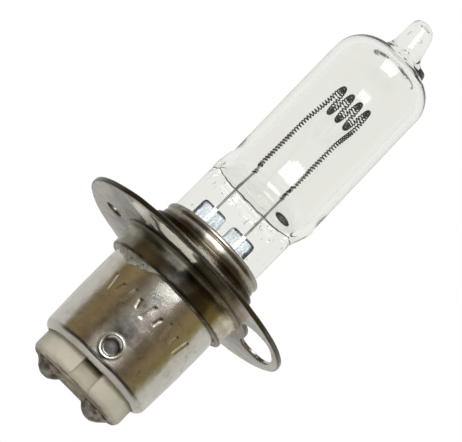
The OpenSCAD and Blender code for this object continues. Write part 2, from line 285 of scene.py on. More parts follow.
def tube(path, radius, sides):
    """A round wire along a path, with a twist-free frame and flat ends."""
    count = len(path)
    headings = [(path[min(i + 1, count - 1)] - path[max(i - 1, 0)]).normalized()
                for i in range(count)]
    across = headings[0].orthogonal().normalized()
    rings = []
    for point, heading in zip(path, headings):
        across = (across - heading * across.dot(heading)).normalized()
        other = heading.cross(across)
        rings.append([point + across * p.x + other * p.y for p in circle(radius, sides)])
    return skin([[path[0]], *rings, [path[-1]]])


def pushed(point, distance):
    """The point moved away from the lamp axis."""
    return point + Vector((point.x, point.y, 0)).normalized() * distance


def new_object(name, data):
    made = bpy.data.objects.new(name, data)
    bpy.context.scene.collection.objects.link(made)
    return made


def piece(name, shape, material, stands_for, turn=BASE_TURN, sharp=38, merge=1e-3):
    """Makes a mesh piece from points and faces, and hides the CAD nodes it stands for."""
    points, faces = shape
    mesh = bpy.data.meshes.new(name)
    mesh.from_pydata([p * MM for p in points], [], faces)
    work = bmesh.new()
    work.from_mesh(mesh)
    bmesh.ops.remove_doubles(work, verts=work.verts, dist=merge * MM)
    work.to_mesh(mesh)
    work.free()
    mesh.transform(Matrix.Rotation(turn, 4, "Z"))
    mesh.shade_smooth()
    mesh.set_sharp_from_angle(angle=radians(sharp))
    mesh.materials.append(material)
    made = new_object(name, mesh)
    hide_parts(*stands_for)
    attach(made, "root")


# ---- materials

class Field:
    """A value or colour made by a material's nodes, for plain arithmetic."""

    def __init__(self, tree, socket):
        self.tree, self.socket = tree, socket

    def math(self, operation, other=0):
        return add(self.tree, "Math", {0: self, 1: other}, operation=operation)

    __add__ = partialmethod(math, "ADD")
    __sub__ = partialmethod(math, "SUBTRACT")
    __mul__ = partialmethod(math, "MULTIPLY")
    __truediv__ = partialmethod(math, "DIVIDE")
    __pow__ = partialmethod(math, "POWER")
    __lt__ = partialmethod(math, "LESS_THAN")
    __abs__ = partialmethod(math, "ABSOLUTE")


def wire(node, inputs):
    """Sets a node's inputs; each is a value, or the Field that feeds it."""
    for key, value in inputs.items():
        if isinstance(value, Field):
            value.tree.links.new(value.socket, node.inputs[key])
        else:
            node.inputs[key].default_value = value


def new_node(tree, kind, inputs, **settings):
    node = tree.nodes.new("ShaderNode" + kind)
    for key, value in settings.items():
        setattr(node, key, value)
    wire(node, inputs)
    return node


def add(tree, kind, inputs, output=0, **settings):
    """One output of a new node."""
    return Field(tree, new_node(tree, kind, inputs, **settings).outputs[output])


def blank(name):
    """A material, its Principled shader, and its coordinates in millimetres."""
    material = bpy.data.materials.new(name)
    material.use_nodes = True
    tree = material.node_tree
    place = add(tree, "VectorMath", {0: add(tree, "TexCoord", {}, "Object"), 1: (1 / MM,) * 3},
                operation="MULTIPLY")
    return material, tree.nodes["Principled BSDF"], place


def xyz(place):
    node = new_node(place.tree, "SeparateXYZ", {0: place})
    return [Field(place.tree, socket) for socket in node.outputs]


def lamp_xyz(place):
    """A place's coordinates in lamp axes."""
    return xyz(add(place.tree, "VectorRotate", {"Vector": place, "Angle": -BASE_TURN},
                   rotation_type="Z_AXIS"))


def around(place):
    """How far round the lamp a place is: 0.5 at the front, 0 and 1 at the back; and its radius."""
    x, y, _ = lamp_xyz(place)
    return x.math("ARCTAN2", y * -1) / (2 * pi) + 0.5, (x ** 2 + y ** 2) ** 0.5


def noise_of(place, scale, detail=3.0, distortion=0.0, stretch=(1, 1, 1)):
    """A noise texture's grey value; scale is in bumps per millimetre."""
    mapped = add(place.tree, "Mapping", {"Vector": place, "Scale": stretch})
    return add(place.tree, "TexNoise", {"Vector": mapped, "Scale": scale, "Detail": detail,
                                        "Distortion": distortion}, "Fac")


def spread(place, scale, size):
    """Noise about zero, to make an edge uneven."""
    return (noise_of(place, scale, 4) - 0.5) * size


def rgba(value):
    """The four channels of a grey or a colour."""
    if isinstance(value, Field):
        return value
    return (*value, 1) if isinstance(value, tuple) else (value, value, value, 1)


def ramp(value, *stops):
    """A colour ramp; each stop is (position, grey or colour)."""
    node = new_node(value.tree, "ValToRGB", {0: value})
    band = node.color_ramp
    band.interpolation = "EASE"
    while len(band.elements) < len(stops):
        band.elements.new(1)
    for element, (position, colour) in zip(band.elements, stops):
        element.position, element.color = position, rgba(colour)
    return Field(value.tree, node.outputs[0])


def blend(amount, a, b, mode="MIX"):
    tree = next(value.tree for value in (amount, a, b) if isinstance(value, Field))
    return add(tree, "Mix", {0: amount, 6: rgba(a), 7: rgba(b)}, 2, data_type="RGBA", blend_type=mode)


def times(a, b, amount=1.0):
    return blend(amount, a, b, "MULTIPLY")


def bump(height, strength, distance, normal=None):
    inputs = {"Height": height, "Strength": strength, "Distance": distance * MM}
    if normal:
        inputs["Normal"] = normal
    return add(height.tree, "Bump", inputs)


def quartz():
    """Clear fused quartz: faintly wavy, a breath of haze, with painted shade darkening it where it is
    seen edge-on, and a small dark deposit on the front where the tube runs into the pinch."""
    material, shader, place = blank("quartz")
    # Painted shade: the glass is tinted darker the more edge-on it is seen.
    facing = add(place.tree, "LayerWeight", {"Blend": 0.32}, "Facing")
    edge_darkening = ramp(facing, (0, (0.94, 0.942, 0.915)), (0.6, (0.93, 0.932, 0.905)),
                (0.9, (0.86, 0.86, 0.83)), (1, (0.78, 0.78, 0.75)))
    x, y, z = xyz(place)
    spot = Matrix.Rotation(BASE_TURN, 3, "Z") @ DEPOSIT_PLACE
    across, up = (x - spot.x) * (1 / DEPOSIT_HALF_W), (z - spot.z) * (1 / DEPOSIT_HALF_H)
    away = (across ** 2 + up ** 2) ** 0.5
    deposit = ramp(away, (0, 0.975), (0.8, 1), (1, 0)) * (y < -1.2)
    waves = bump(noise_of(place, 0.18, 2, stretch=(1, 1, 0.45)), 0.008, 0.02)
    wire(shader, {
        "IOR": 1.458, "Transmission Weight": 1,
        "Base Color": blend(deposit, edge_darkening, (0.001, 0.0006, 0.0004)),
        "Specular IOR Level": ramp(deposit, (0, 0.5), (1, 0.12)),
        "Roughness": ramp(noise_of(place, 0.35, 4), (0.45, 0), (0.8, 0.03)),
        "Normal": bump(noise_of(place, 2.2, 2), 0.01, 0.02, waves)})
    absorb = add(place.tree, "VolumeAbsorption", {"Color": (0.4, 0.42, 0.3, 1), "Density": 28})
    wire(place.tree.nodes["Material Output"], {"Volume": absorb})
    return material


def nickel(name, heat, tints_and_shades, dull=0.0, tone=1.0, scratch_stretch=(1, 1, 0.08), wear_and_highlight=None):
    """Nickel plate with a patchy heat tint, stains, fine scratches and small knocks. Each of
    tints_and_shades is white where it leaves the plate unchanged, and wear_and_highlight is white where
    a painted highlight, pale and dull gold, goes on."""
    material, shader, place = blank(name)
    clean, brown, violet = (tuple(tone * channel for channel in colour) for colour in (
        (0.7, 0.68, 0.635), (0.46, 0.39, 0.28), (0.53, 0.5, 0.55)))
    patches = noise_of(place, 0.16, 4, 0.6)
    clouds = noise_of(place, 0.5, 5, 0.3)
    colour = blend(ramp(patches, (0.45, 0), (0.75, heat)), clean, brown)
    colour = blend(ramp(clouds, (0.52, 0), (0.75, heat * 0.6)), colour, violet)
    stains = ramp(noise_of(place, 0.9, 6, 1.2), (0.26, 0.45), (0.42, 1))
    colour = times(colour, stains, 0.8)
    for tint_and_shade in tints_and_shades:
        colour = times(colour, tint_and_shade(place))
    metallic = 1
    # A painted highlight: a pale, dull gold patch with less metal in it.
    if wear_and_highlight:
        painted_highlight = wear_and_highlight(place)
        colour = blend(painted_highlight, colour, (0.95, 0.9, 0.76))
        metallic = ramp(painted_highlight, (0, 1), (1, 0.1))
    scratches = noise_of(place, 9, 3, 0.2, scratch_stretch)
    rubbed = ramp(noise_of(place, 0.8, 4), (0.35, 0.17 + dull), (0.75, 0.3 + dull))
    knocks = bump(noise_of(place, 0.55, 3), 0.22, 0.08)
    wire(shader, {"Base Color": colour, "Metallic": metallic,
                  "Roughness": rubbed + ramp(scratches, (0.55, 0), (0.8, 0.12)),
                  "Normal": bump(scratches, 0.1, 0.02, knocks)})
    return material


# Colour that leaves a surface as it is, where no painted shade or highlight falls.
UNCHANGED = (1, 1, 1)


def flange_shade(place):
    """Painted shade that darkens the flange towards its middle, less so up its neck, and along its rim.
    """
    radius = around(place)[1]
    neck = ramp(xyz(place)[2] * 0.5, (0, 0), (0.4, 0.42), (1, 0.42), (1.15, 0.1))
    along = (radius + spread(place, 0.5, 3) - 8.2) / 6.3 + neck
    # Painted shade towards the middle, then a painted dark band along the rim.
    return times(ramp(along, (0, (0.2, 0.18, 0.13)), (1, UNCHANGED)),
                 ramp((radius - FLANGE_R + 0.3) * 4, (0, UNCHANGED), (1, (0.25, 0.23, 0.2))))


def turned_bands(*stops):
    """Darker and lighter bands round the lamp, from the back by its left to the back; on the skirt they
    are a painted reflection of the room.
    """
    return lambda place: ramp(around(place)[0] + spread(place, 0.5, 0.1), *stops)


def height_shading(low, high, *stops):
    """Painted shade and painted highlight in bands between two heights."""
    return lambda place: ramp((xyz(place)[2] + spread(place, 0.6, 0.8) - low) / (high - low), *stops)


def neck_shade_and_highlight(place):
    """Painted shade round the sides of the flange's neck, and a painted highlight at its front."""
    dark = (0.42, 0.4, 0.36)
    sides = ramp(around(place)[0] + spread(place, 0.5, 0.05),
                 (0.41, dark), (0.46, UNCHANGED), (0.51, UNCHANGED), (0.56, dark))
    return blend(ramp(xyz(place)[2], (0.2, 0), (0.6, 1)), UNCHANGED, sides)


def flange_painted_highlight(place):
    """A painted highlight, pale and dull gold, along the front left of the flange's underside."""
    along, radius = around(place)
    along = along + spread(place, 0.9, 0.06)
    off = abs(radius - 12.1) + spread(place, 0.7, 3.4)
    where = ramp(along, (0.36, 0), (0.375, 0.75), (0.4, 0.65), (0.412, 0.05), (0.425, 0.9),
                 (0.492, 1), (0.5, 0))
    return ramp(off / 4, (0.4, 1), (0.6, 0)) * where * (xyz(place)[2] < -0.15)


def skirt_painted_highlight(place):
    """A painted highlight: a pale patch at the front left of the skirt, under the flange."""
    where = ramp(around(place)[0] + spread(place, 0.8, 0.04),
                 (0.4, 0.03), (0.455, 0.42), (0.485, 0.55), (0.505, 0))
    return where * ramp((xyz(place)[2] + 3) / 3, (0.22, 0), (0.46, 1), (0.62, 1), (0.72, 0.1))


def dimple_shade_and_highlight(place):
    """Painted shade in the struck dimple, darkest at its wall, with a painted highlight at its middle
    and a brighter painted ring round its rim.
    """
    centre = Matrix.Rotation(BASE_TURN, 3, "Z") @ Vector((-DIMPLE_LEFT, -SHELL_R, DIMPLE_Z))
    away = add(place.tree, "VectorMath", {0: place, 1: centre}, "Value", operation="DISTANCE")
    return ramp((away + spread(place, 1.6, 0.2)) / 4, (0, (1.1, 1.12, 1.16)),
                (0.13, (0.58, 0.59, 0.62)), (0.26, (0.28, 0.28, 0.29)), (0.3, 1.3),
                (0.4, (1.4, 1.4, 1.38)), (0.8, UNCHANGED))


def key_groove_shade(place):
    """Painted shade in the top of the ceramic's key groove, under the shell's crimped end."""
    deep = ramp(around(place)[1] - 5.2, (0.45, 1), (0.85, 0))
    groove_shade = ramp((xyz(place)[2] - SHELL_END_Z - 0.1) * -1, (0.15, (0.14, 0.11, 0.07)),
                (0.55, (0.45, 0.41, 0.3)), (0.95, (0.95, 0.95, 0.92)))
    return blend(deep, UNCHANGED, groove_shade)


def wire_metal(name, colour, dark, roughness):
    """Drawn wire: fine draw lines and a patchy oxide film."""
    material, shader, place = blank(name)
    film = ramp(noise_of(place, 0.9, 4), (0.35, 0), (0.7, 1))
    lines = noise_of(place, 6, 2, 0, (1, 1, 0.1))
    wire(shader, {"Metallic": 1, "Base Color": blend(film, colour, dark),
                  "Roughness": ramp(lines, (0.3, roughness), (0.7, roughness + 0.15)),
                  "Normal": bump(lines, 0.2, 0.02)})
    return material


def foil_metal():
    """Thin molybdenum: pale and streaky, dark where its etched edges bend the light."""
    material, shader, place = blank("foil_metal")
    x, _, z = lamp_xyz(place)
    beyond = abs(x - LEGS_X) - LEAD_GAP / 2
    edge = ramp((beyond + spread(place, 1.2, 0.5) + 2) / 4, (0.05, (0.5, 0.52, 0.54)),
                (0.13, UNCHANGED), (0.8, UNCHANGED), (0.88, (0.12, 0.12, 0.13)))
    under_lead = ramp(abs(beyond), (0.18, 1), (0.36, 0))
    top = ramp(z - (FOIL_TOP_Z - 1) + spread(place, 1.5, 0.25),
               (0.64, UNCHANGED), (0.76, (0.16, 0.16, 0.18)))
    streaks = noise_of(place, 3, 3, 0.3, (1, 1, 0.25))
    colour = blend(ramp(streaks, (0.35, 0), (0.7, 1)), (0.62, 0.67, 0.72), (0.34, 0.38, 0.42))
    colour = times(times(colour, edge), blend(under_lead, top, UNCHANGED))
    wire(shader, {"Metallic": 1, "Base Color": blend(under_lead, colour, (0.8, 0.84, 0.88)),
                  "Roughness": ramp(streaks, (0.3, 0.16), (0.7, 0.31)),
                  "Normal": bump(streaks, 0.2, 0.02)})
    return material


def solder(name, colour, dark, roughness, pit_scale):
    """Dull solder: pits, flux stains and a slightly crystalline skin."""
    material, shader, place = blank(name)
    stain = ramp(noise_of(place, 0.7, 5, 0.8), (0.38, 0), (0.62, 1))
    pits = add(place.tree, "TexVoronoi", {"Vector": place, "Scale": pit_scale}, "Distance",
               feature="SMOOTH_F1")
    pit = ramp(pits, (0.05, 0.25), (0.35, 1))
    grain = noise_of(place, 3.5, 4)
    wire(shader, {"Metallic": 0.85, "Base Color": times(blend(stain, dark, colour), pit, 0.7),
                  "Roughness": ramp(grain, (0.3, roughness), (0.7, roughness + 0.2)),
                  "Normal": bump(grain, 0.35, 0.05, bump(pit, 0.5, 0.12))})
    return material


def mineral(name, colour, dark, grain, pits, weave=(1, 1, 1), tints_and_shades=()):
    """Unglazed ceramic, cement or glass fibre: grain and specks, darkened by any painted shade in
    tints_and_shades.
    """
    material, shader, place = blank(name)
    clouds = ramp(noise_of(place, 0.25, 5, 0.4), (0.35, 0), (0.75, 0.55))
    specks = ramp(noise_of(place, 4, 2), (0.24, 0.45), (0.33, 1))
    base = times(blend(clouds, colour, dark), specks, 0.55)
    for tint_and_shade in tints_and_shades:
        base = times(base, tint_and_shade(place))
    fine = noise_of(place, grain, 6, 0.2, weave)
    wire(shader, {"Specular IOR Level": 0.35, "Base Color": base,
                  "Roughness": ramp(fine, (0.3, 0.48), (0.7, 0.75)), "Normal": bump(fine, pits, 0.06)})
    return material


QUARTZ = quartz()
# The shell's dimple gets painted shade and painted highlights.
SHELL_METAL = nickel("nickel_shell", 0.6, [dimple_shade_and_highlight])
# The collar is painted darker towards its foot, a painted shade in the crease above the flange's neck,
# and is darker round its left.
COLLAR_METAL = nickel("nickel_collar", 0.7, dull=0.05, tone=0.72, tints_and_shades=(
    height_shading(0, COLLAR_TOP_Z, (0.64, (0.2, 0.18, 0.15)), (0.76, UNCHANGED)),
    turned_bands((0.3, (0.6, 0.58, 0.52)), (0.4, (0.8, 0.78, 0.72)), (0.48, UNCHANGED))))
# The flange gets painted shade towards its middle and rim, painted shade and a painted highlight on its
# neck, a painted highlight under its front left, and darker and lighter bands round it.
FLANGE_METAL = nickel(
    "nickel_flange", 0.5, tone=0.82, scratch_stretch=(0.3, 1, 1), wear_and_highlight=flange_painted_highlight, tints_and_shades=(
        flange_shade, neck_shade_and_highlight,
        turned_bands((0.27, (0.9, 0.9, 0.88)), (0.34, (0.45, 0.44, 0.4)), (0.43, (0.8, 0.79, 0.76)),
                     (0.5, UNCHANGED), (0.62, UNCHANGED), (0.68, (0.72, 0.7, 0.66)), (0.75, UNCHANGED))))
# The skirt gets painted shade at its foot and root, a painted highlight band between, a painted
# highlight at its front left, and painted reflections of the room in bands round it.
SKIRT_METAL = nickel("nickel_skirt", 0.7, tone=0.75, wear_and_highlight=skirt_painted_highlight, tints_and_shades=(
    height_shading(SKIRT_END_Z, 0, (0.03, (0.3, 0.28, 0.24)), (0.1, UNCHANGED), (0.36, UNCHANGED),
                 (0.52, (1.4, 1.4, 1.35)), (0.66, (1.3, 1.3, 1.25)), (0.76, (0.5, 0.48, 0.42))),
    turned_bands((0.25, (0.6, 0.58, 0.52)), (0.31, (0.5, 0.48, 0.42)), (0.36, (0.36, 0.35, 0.3)),
                 (0.44, (0.42, 0.42, 0.36)), (0.475, (0.36, 0.36, 0.34)), (0.512, (0.14, 0.12, 0.09)),
                 (0.56, (0.26, 0.22, 0.14)), (0.605, (0.85, 0.78, 0.55)), (0.68, (1.3, 1.25, 1.15)))))
TUNGSTEN = wire_metal("tungsten_wire", (0.075, 0.075, 0.08), (0.03, 0.03, 0.035), 0.38)
LEAD_METAL = wire_metal("lead_wire_metal", (0.52, 0.52, 0.53), (0.28, 0.27, 0.26), 0.3)
BRASS = wire_metal("brass_rolled", (0.6, 0.44, 0.2), (0.38, 0.26, 0.12), 0.25)
FOIL_METAL = foil_metal()
SEAM_SOLDER = solder("seam_solder", (0.62, 0.6, 0.54), (0.3, 0.27, 0.21), 0.32, 1.6)
CONTACT_SOLDER = solder("contact_solder", (0.36, 0.32, 0.27), (0.1, 0.085, 0.06), 0.3, 1.1)
# The ceramic gets painted shade in its key groove, along its bottom edge and under the shell's crimp.
CERAMIC = mineral("cream_ceramic_body", (0.53, 0.5, 0.4), (0.37, 0.34, 0.26), 2.0, 0.35, tints_and_shades=(
    key_groove_shade, height_shading(PLUG_END_Z - 0.2, SHELL_END_Z, (0.05, (0.34, 0.3, 0.24)),
                             (0.14, (0.86, 0.84, 0.78)), (0.3, UNCHANGED), (0.8, UNCHANGED),
                             (1, (0.55, 0.52, 0.44)))))
CEMENT = mineral("cement_grain", (0.72, 0.69, 0.6), (0.5, 0.47, 0.4), 3.5, 0.8)
SLEEVING = mineral("glass_fibre_weave", (0.8, 0.77, 0.68), (0.62, 0.58, 0.48), 7.0, 0.6, (1, 1, 0.35))


# ---- glass

def glass_shift(z):
    """Sideways offset of the glass's middle: the pinch sits a little left, the tube leans."""
    tube_x = mix(0.29, -0.05, min(max((z - ROUND_END_Z) / 16, 0), 1))
    return mix(-0.25, tube_x, ease((z - PINCH_TOP_Z) / (ROUND_END_Z - PINCH_TOP_Z)))


def leaned(point):
    """The exhaust tip leans to the left."""
    over = max(point.z - DOME_Z - 0.8, 0)
    lean = tan(TIP_LEAN) * over * ease(over / 1.5)
    return Vector((point.x + glass_shift(point.z) - lean, point.y, point.z))


def flatness(z, round_end=ROUND_END_Z):
    """0 where the tube is round, 1 where the pinch is fully flat."""
    return 1 - ease((z - PINCH_TOP_Z) / (round_end - PINCH_TOP_Z))


def swelling(z):
    """How much wider the tube's outline is just above the pinch."""
    return 0.022 * hump(z, 13.4, 3.2)


def press(point, half, corner, flat):
    """The point moved part of the way to a flat face at depth half, its corners rounded."""
    pressed = copysign(soft_min(abs(point.y), half, min(corner, half)), point.y)
    return Vector((point.x, mix(point.y, pressed, flat), point.z))


def pressed_outside(point):
    """Presses the outside of the tube flat below the round part, leaving a rim along each edge."""
    flat = flatness(point.z)
    out = Vector(point)
    if flat > 0:
        past_rim = (abs(point.x) - TUBE_R + PINCH_RIM_W + RIM_SLOPE_W) / RIM_SLOPE_W
        rim = PINCH_RIM * ease(past_rim) * ease((PINCH_TOP_Z + 1.4 - point.z) / 1.8)
        half = PINCH_HALF_T + rim + 0.014 * rough(point, 1.4, seed=3)
        out = press(point, half, 0.9, flat)
        out.x *= 1 + swelling(point.z) - 0.03 * ease((12.2 - point.z) / 1.6)
    wave = 0.0002 * rough((point.x, point.y, point.z * 0.5), 4, seed=1)
    if point.z < DOME_Z - SHOULDER_H:
        return leaned(pushed(out, wave))
    blob = hump(atan2(point.y, point.x), -0.25, 0.7)   # a lump of glass at the tip's right foot
    blob *= hump(hypot(point.x, point.y), 2.95, 0.95)
    return leaned(pushed(out, 0.45 * blob) + Vector((0, 0, 0.75 * blob)))


def pressed_inside(point):
    """Presses the cavity a little sooner than the outside, to an uneven slit at its end."""
    flat = flatness(point.z, ROUND_END_Z + 0.2)
    out = press(point, SLIT_HALF_T * (1 + 0.3 * rough(point, 0.9, seed=5)), 0.5, flat)
    low = hump(point.z, CAVITY_END_Z, 1.6)
    across = (point.x, 0.3 * point.y, 0)
    out.z += low * (0.22 * rough(across, 1.1, seed=8, detail=3) + 0.35 * (point.x / CAVITY_R) ** 4)
    out.x *= 1 + swelling(point.z)
    wave = 0.0005 * rough((point.x, point.y, point.z * 0.5), 3, seed=2)
    return leaned(pushed(out, wave * (1 - flat)) if point.z < DOME_Z - SHOULDER_H else out)


def mirror_cap(count):
    """Faces that close a pressed ring, from its front edge to its back edge."""
    half = count // 2
    middle = [[i, count - i, count - i - 1, i + 1] for i in range(1, half - 1)]
    return [*middle, [0, count - 1, 1], [half - 1, half + 1, half]]


def glass_wall(radius, start_z, step, dome, crown, top_z, pressed, flip=False):
    """One surface of the bulb: tube, the dome's rounded shoulder, crown and closed lower end.
    The dome is its height, its shoulder's width and height, and how far round that goes."""
    dome_z, width, height, last = dome
    profile = [(radius, z) for z in levels(start_z, dome_z - height, step)[:-1]]
    for angle in (radians(turn) for turn in levels(0, last, last / 12)):
        profile.append((radius - width * (1 - cos(angle)), dome_z - height * (1 - sin(angle))))
    steps = 4 if flip else 3
    profile[-1:] = spline([profile[-1]] + [(r, dome_z + z) for r, z in crown], steps) + [(0, top_z)]
    rings = [[pressed(p) for p in turn_ring(r, z, GLASS_SIDES)] for r, z in profile]
    points, faces = skin(rings, flip=flip)
    cap = mirror_cap(GLASS_SIDES)
    return points, faces + ([face[::-1] for face in cap] if flip else cap)


def glass_shape():
    roof_z = DOME_Z - TUBE_WALL
    outside = glass_wall(TUBE_R, PINCH_END_Z, 0.4, (DOME_Z, SHOULDER_W, SHOULDER_H, 78), NIB, TIP_Z,
                         pressed_outside)
    dome = (roof_z, SHOULDER_W - TUBE_WALL, SHOULDER_H - TUBE_WALL, 84)
    inside = glass_wall(CAVITY_R, CAVITY_END_Z, 0.3, dome, RECESS, roof_z + 2.3, pressed_inside,
                        flip=True)
    return joined(outside, inside, *bubbles())


def bubble(place, half_width, half_height, sides):
    rings = [turn_ring(half_width * cos(a), half_height * sin(a), sides)
             for a in (radians(turn) for turn in levels(-90, 90, 30))]
    return skin([[place + p for p in ring] for ring in rings], flip=True)


def bubbles():
    """Tiny bubbles trapped in the pinch and in the tip, and the flat void at the tip's end."""
    draw = random.Random(41)
    made = []
    for _ in range(46):
        x = draw.uniform(-5.4, 5.4)
        z = draw.choice([draw.uniform(4.8, 10.2), draw.uniform(9.4, 10.6)])
        y = draw.choice([-1, 1]) * draw.uniform(0.35, 1.3)
        size = draw.uniform(0.04, 0.11)
        place = Vector((x + glass_shift(z), y, z))
        made.append(bubble(place, size, size * draw.uniform(1, 2.4), 10))
    for x, y, down, width, height in TIP_BUBBLES:
        made.append(bubble(leaned(Vector((x, y, TIP_Z - down))), width, height, 12))
    return made


piece("glass_bulb", glass_shape(), QUARTZ, ["quartz_envelope"], sharp=180, merge=1e-5)


# ---- filament

def coil_point(turns):
    angle = 2 * pi * turns
    return Vector((COIL_START_X + COIL_PITCH * turns, -COIL_R * cos(angle),
                   LIGHT_Z + COIL_R * sin(angle)))


def leg(side, end):
    """A coiled leg from its lower end to the point where it joins the large coil."""
    foot = Vector((LEGS_X + side * LEAD_GAP / 2, 0, LEG_END_Z))
    knee = Vector((foot.x, 0, LEG_STRAIGHT_Z))
    parts = [i / 12 for i in range(12)]
    bend = [Vector((mix(knee.x, end.x, ease(u)), mix(0, end.y, ease(u)), mix(knee.z, end.z, u)))
            for u in parts]
    return [foot.lerp(knee, u) for u in parts] + bend


def filament_path():
    turns = [coil_point(COIL_TURNS * i / 130) for i in range(131)]
    return leg(SIDES["left"], turns[0]) + turns + leg(SIDES["right"], turns[-1])[::-1]


def coiled(path, pitch, radius, per_turn=12):
    """A small helix wound along a path."""
    lengths = [0]
    for a, b in zip(path, path[1:]):
        lengths.append(lengths[-1] + (b - a).length)
    count = int(lengths[-1] / pitch * per_turn)
    wound, k = [], 0
    across = (path[1] - path[0]).orthogonal().normalized()
    for i in range(count + 1):
        along = lengths[-1] * i / count
        while k < len(path) - 2 and lengths[k + 1] < along:
            k += 1
        u = (along - lengths[k]) / (lengths[k + 1] - lengths[k])
        before = (path[k + 1] - path[max(k - 1, 0)]).normalized()
        after = (path[min(k + 2, len(path) - 1)] - path[k]).normalized()
        heading = before.lerp(after, u).normalized()
        across = (across - heading * across.dot(heading)).normalized()
        angle = 2 * pi * i / per_turn
        out = across * cos(angle) + heading.cross(across) * sin(angle)
        wound.append(path[k].lerp(path[k + 1], u) + out * radius)
    return wound


strand = coiled(filament_path(), STRAND_PITCH, STRAND_R)
piece("coiled_filament", tube(strand, STRAND_WIRE_R, 6), TUNGSTEN, ["filament"], sharp=180,
      merge=1e-5)


# ---- metal base

def dented(amount, scale, seed):
    """A shape function that gives a drawn metal part its faint unevenness."""
    return lambda p: pushed(p, amount * rough(p, scale, seed))


def collar_shape():
    inner_r = COLLAR_R - COLLAR_WALL
    foot_r = SHELL_R - SHELL_WALL - 0.02
    profile = [(foot_r, COLLAR_END_Z), (foot_r, -0.85), (COLLAR_R, -0.5)]
    profile += [(COLLAR_R + 0.12 * ease((3.6 - z) / 1.2), z)
                for z in levels(0, COLLAR_TOP_Z - 1.2, 0.2)]
    profile += [(COLLAR_R - inward, COLLAR_TOP_Z - down) for inward, down in (
        (0.06, 1.04), (0.12, 0.92), (0.1, 0.8), (0.03, 0.66))]
    profile += arc((COLLAR_R - COLLAR_ROLL_R, COLLAR_TOP_Z - COLLAR_ROLL_R), COLLAR_ROLL_R, 0, 120, 12)
    profile += [(inner_r - 0.22, COLLAR_TOP_Z - 0.25), (inner_r - 0.12, COLLAR_TOP_Z - 0.6),
                (inner_r, COLLAR_TOP_Z - 0.9), (inner_r, COLLAR_END_Z)]
    return revolved(profile, 192, dented(0.025, 3, 11))


piece("collar_sleeve", collar_shape(), COLLAR_METAL, ["collar"])


def kidney(grow):
    """Outline of the curved slot, grown outward."""
    half, reach = degrees(SLOT_HALF_ANGLE), SLOT_HALF_W + grow
    ends = [(SLOT_X * cos(a), SLOT_X * sin(a)) for a in (SLOT_HALF_ANGLE, -SLOT_HALF_ANGLE)]
    parts = (arc((0, 0), SLOT_X + reach, -half, half, 24), arc(ends[0], reach, half, half + 180, 14),
             arc((0, 0), SLOT_X - reach, half, -half, 24),
             arc(ends[1], reach, 180 - half, 360 - half, 14))
    return [Vector(p) for part in parts for p in part[:-1]]


def outside_holes(p):
    """Distance from the edge of the nearer hole; less than 0 inside it."""
    angle = max(-SLOT_HALF_ANGLE, min(SLOT_HALF_ANGLE, atan2(p.y, p.x)))
    slot = (p - SLOT_X * Vector((cos(angle), sin(angle)))).length - SLOT_HALF_W
    return min(slot, (p - Vector((PIN_X, 0))).length - PIN_R)


def flange_shape():
    """The pierced disc, filled with a grid of triangles, its rounded edges and the drawn neck."""
    root_r = NECK_R + NECK_ROOT_R
    edge = arc((EDGE_R, -EDGE_R), EDGE_R, 90, 180, 4)  # how far a hole grows, and at what height
    edge += [(grow, -FLANGE_T - height) for grow, height in edge[::-1]]
    flat, borders = [], []
    for loop in (circle(FLANGE_R - EDGE_R, RIM_SIDES), circle(root_r, BORE_SIDES),
                 circle(PIN_R + EDGE_R, PIN_SIDES, PIN_X), kidney(EDGE_R)):
        start, size = len(flat), len(loop)
        flat += loop
        borders += [(start + i, start + (i + 1) % size) for i in range(size)]
    row_step, inset = GRID_STEP * 0.87, GRID_STEP * 0.75
    for row in range(int(2 * FLANGE_R / row_step)):
        for col in range(int(2 * FLANGE_R / GRID_STEP)):
            p = Vector(((col + 0.5 * (row % 2)) * GRID_STEP - FLANGE_R, row * row_step - FLANGE_R))
            if root_r + 0.35 < p.length < FLANGE_R - EDGE_R - 0.35 and outside_holes(p) > inset:
                flat.append(p)
    spots, _, triangles, *_ = delaunay_2d_cdt(flat, borders, [], 0, 1e-6)
    faces = []
    for triangle in triangles:
        corners = [spots[i] for i in triangle]
        centre = sum(corners, Vector((0, 0))) / 3
        if centre.length > root_r * 0.9999 and outside_holes(centre) > EDGE_R:
            upward = (corners[1] - corners[0]).cross(corners[2] - corners[0]) > 0
            faces.append(list(triangle)[::1 if upward else -1])
    discs = (raised(spots, 0), faces), (raised(spots, -FLANGE_T), [face[::-1] for face in faces])
    rim = skin([raised(circle(FLANGE_R - grow, RIM_SIDES), z) for grow, z in edge[::-1]])
    pin = skin([raised(circle(PIN_R + grow, PIN_SIDES, PIN_X), z) for grow, z in edge])
    slot = skin([raised(kidney(grow), z) for grow, z in edge])
    roll_r = (NECK_R - NECK_BORE_R) / 2
    neck = arc((root_r, NECK_ROOT_R), NECK_ROOT_R, 270, 180, 14)
    neck += [(NECK_R, z) for z in levels(NECK_ROOT_R + 0.1, NECK_TOP_Z - 0.45, 0.15)]
    neck += arc((NECK_R - roll_r, NECK_TOP_Z - roll_r), roll_r, 0, 180)
    neck += [(NECK_BORE_R, 0), (NECK_BORE_R, -FLANGE_T), (root_r, -FLANGE_T)]
    points, faces = joined(*discs, rim, pin, slot, revolved(neck, BORE_SIDES, closed=False))
    return [uneven_flange(p) for p in points], faces


def uneven_flange(p):
    """The stamped flange isn't quite flat towards its rim."""
    out = max(hypot(p.x, p.y) - NECK_R, 0) / (FLANGE_R - NECK_R)
    flat = (p.x, p.y, 0)
    lift = 0.06 * out * rough(flat, 6, 21) + 0.012 * rough(flat, 1.6, 22) * min(out * 4, 1)
    front = p.x * sin(BASE_TURN) - p.y * cos(BASE_TURN)
    right = p.x * cos(BASE_TURN) + p.y * sin(BASE_TURN)
    tip = FLANGE_TIP if front > 0 else FLANGE_BACK_TIP
    lift += (tan(tip) * front - tan(FLANGE_ROLL) * right) * ease(out * 3)
    return p + Vector((0, 0, lift))


